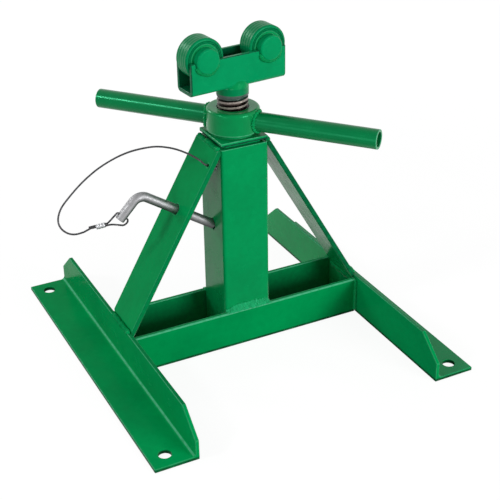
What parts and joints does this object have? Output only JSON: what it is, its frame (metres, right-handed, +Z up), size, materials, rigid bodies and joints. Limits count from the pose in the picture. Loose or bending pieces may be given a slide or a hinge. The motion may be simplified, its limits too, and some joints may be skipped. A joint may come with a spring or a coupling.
{
  "type": "cable drum jack",
  "caption": "Screw jack stand for a cable drum: angle-iron feet, braced telescopic post with a lock pin, handled nut, and a screw that lifts a two-roller spindle cradle.",
  "frame": {"origin": "on the floor under the middle of the post", "axes": "+Z up along the post and screw, +Y along the feet away from the viewer, +X to the right with the lock pin on the -X side"},
  "size_m": [0.4368, 0.456, 0.4112],
  "materials": {
    "green_paint": "satin enamel",
    "bare_steel": "oiled, turned",
    "zinc_plate": "zinc plated",
    "bronze": "machined",
    "wire_rope": "oiled wire strands",
    "crimp_aluminium": "pressed"
  },
  "bodies": {
    "frame": {"left_foot": "green_paint", "right_foot": "green_paint", "front_crossbar": "green_paint", "rear_crossbar": "green_paint", "outer_post": "green_paint", "base_plate": "green_paint", "left_brace": "green_paint", "right_brace": "green_paint", "lanyard_stop": "crimp_aluminium", "lanyard": "wire_rope"},
    "inner_post": {"inner_post": "green_paint", "cap_plate": "green_paint", "thrust_washer": "bronze"},
    "nut": {"nut": "green_paint", "left_handle": "green_paint", "right_handle": "green_paint"},
    "screw": {"screw": "bare_steel", "screw_stop": "bare_steel", "stop_pin": "zinc_plate", "head_boss": "green_paint", "head_channel": "green_paint", "left_axle": "green_paint", "right_axle": "green_paint"},
    "left_roller": {"left_roller": "green_paint", "left_bush": "bronze"},
    "right_roller": {"right_roller": "green_paint", "right_bush": "bronze"},
    "lock_pin": {"lock_pin": "zinc_plate", "lanyard_eye": "wire_rope", "lanyard_ferrule": "crimp_aluminium"}
  },
  "joints": [
    {"name": "post_lift", "type": "slide", "parent": "frame", "child": "inner_post", "axis": [0, 0, 1], "range_m": [0, 0.1143]},
    {"name": "nut_turn", "type": "hinge", "parent": "inner_post", "child": "nut", "pos_m": [0, 0, 0.30055], "axis": [0, 0, 1], "range_deg": [-3960, 720]},
    {"name": "screw_lift", "type": "slide", "parent": "inner_post", "child": "screw", "axis": [0, 0, 1], "range_m": [-0.01275, 0.0699]},
    {"name": "left_roller_spin", "type": "hinge", "parent": "screw", "child": "left_roller", "pos_m": [-0.0431, -0.00415, 0.38585], "axis": [-0.0958, 0.9954, 0], "continuous": true},
    {"name": "right_roller_spin", "type": "hinge", "parent": "screw", "child": "right_roller", "pos_m": [0.0431, 0.00415, 0.38585], "axis": [-0.0958, 0.9954, 0], "continuous": true},
    {"name": "pin_slide", "type": "slide", "parent": "frame", "child": "lock_pin", "axis": [-0.8353, 0, 0.5499], "range_m": [-0.018, 0.045], "deforming": ["lanyard"]}
  ],
  "couplings": [
    {"joint": "screw_lift", "follows": "nut_turn", "m_per_rad": -0.0010106}
  ]
}
